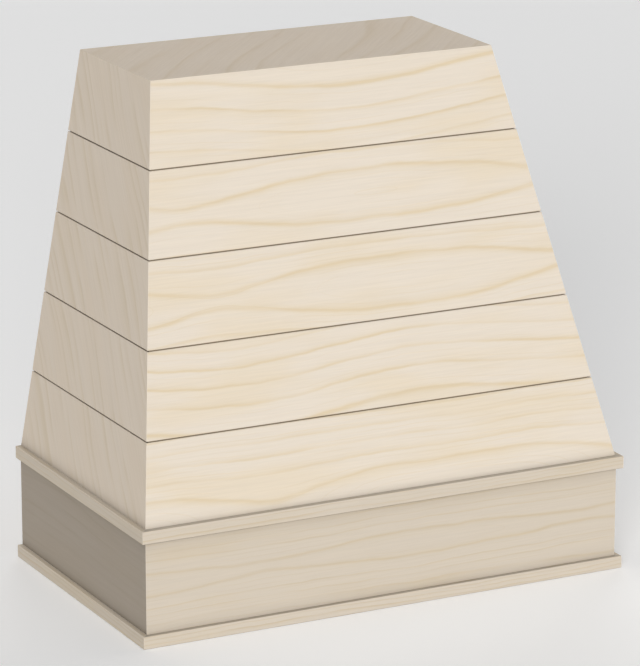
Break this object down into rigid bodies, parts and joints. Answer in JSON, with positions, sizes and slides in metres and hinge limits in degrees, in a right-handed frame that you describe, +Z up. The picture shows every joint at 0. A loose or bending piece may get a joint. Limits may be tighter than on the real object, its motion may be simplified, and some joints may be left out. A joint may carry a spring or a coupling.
{
  "type": "range hood cover",
  "caption": "Tapered wooden range hood cover clad in shiplap boards on an upright apron with trim strips, open at the back, with a shelf for a ventilation insert.",
  "frame": {"origin": "middle of the overall width and depth, trim strips included, at the bottom edge of the cover", "axes": "+X across the cover, +Y towards the wall behind it, +Z up"},
  "size_m": [0.9334, 0.543, 0.9144],
  "materials": {
    "face_boards": "pale flat-sawn boards, sanded, unfinished",
    "top_wood": "pale panel, sanded, unfinished",
    "apron_front_wood": "pale straight-grained board, sanded, unfinished",
    "apron_side_wood": "plain, slightly darker board, sanded, unfinished",
    "trim_wood": "pale planed strip, unfinished",
    "plywood": "sanded plywood with the plies showing at its edges",
    "frame_timber": "planed softwood strips, unfinished",
    "steel_screws": "zinc-plated steel",
    "steel_pins": "bright steel",
    "wood_filler": "sanded wood filler over the pins"
  },
  "bodies": {
    "root": {"apron_block_left": "frame_timber", "apron_block_right": "frame_timber", "apron_front": "apron_front_wood", "apron_left": "apron_side_wood", "apron_right": "apron_side_wood", "back_stile_left": "frame_timber", "back_stile_right": "frame_timber", "base_trim_front": "trim_wood", "base_trim_left": "trim_wood", "base_trim_right": "trim_wood", "board_screws": "steel_screws", "corner_strip_left": "frame_timber", "corner_strip_right": "frame_timber", "frame_screws": "steel_screws", "front_backer": "plywood", "front_board_1": "face_boards", "front_board_2": "face_boards", "front_board_3": "face_boards", "front_board_4": "face_boards", "front_board_5": "face_boards", "insert_shelf": "plywood", "left_backer": "plywood", "left_board_1": "face_boards", "left_board_2": "face_boards", "left_board_3": "face_boards", "left_board_4": "face_boards", "left_board_5": "face_boards", "pin_fillers": "wood_filler", "right_backer": "plywood", "right_board_1": "face_boards", "right_board_2": "face_boards", "right_board_3": "face_boards", "right_board_4": "face_boards", "right_board_5": "face_boards", "shelf_cleat_front": "frame_timber", "shelf_cleat_left": "frame_timber", "shelf_cleat_right": "frame_timber", "taper_cleat_front": "frame_timber", "taper_cleat_left": "frame_timber", "taper_cleat_right": "frame_timber", "top_cleat_front": "frame_timber", "top_cleat_left": "frame_timber", "top_cleat_right": "frame_timber", "top_panel": "top_wood", "trim_pins": "steel_pins", "waist_cleat_back": "frame_timber", "waist_cleat_front": "frame_timber", "waist_cleat_left": "frame_timber", "waist_cleat_right": "frame_timber", "waist_trim_front": "trim_wood", "waist_trim_left": "trim_wood", "waist_trim_right": "trim_wood", "wall_rail_bottom": "frame_timber", "wall_rail_top": "frame_timber", "wall_rail_waist": "frame_timber"}
  },
  "joints": []
}
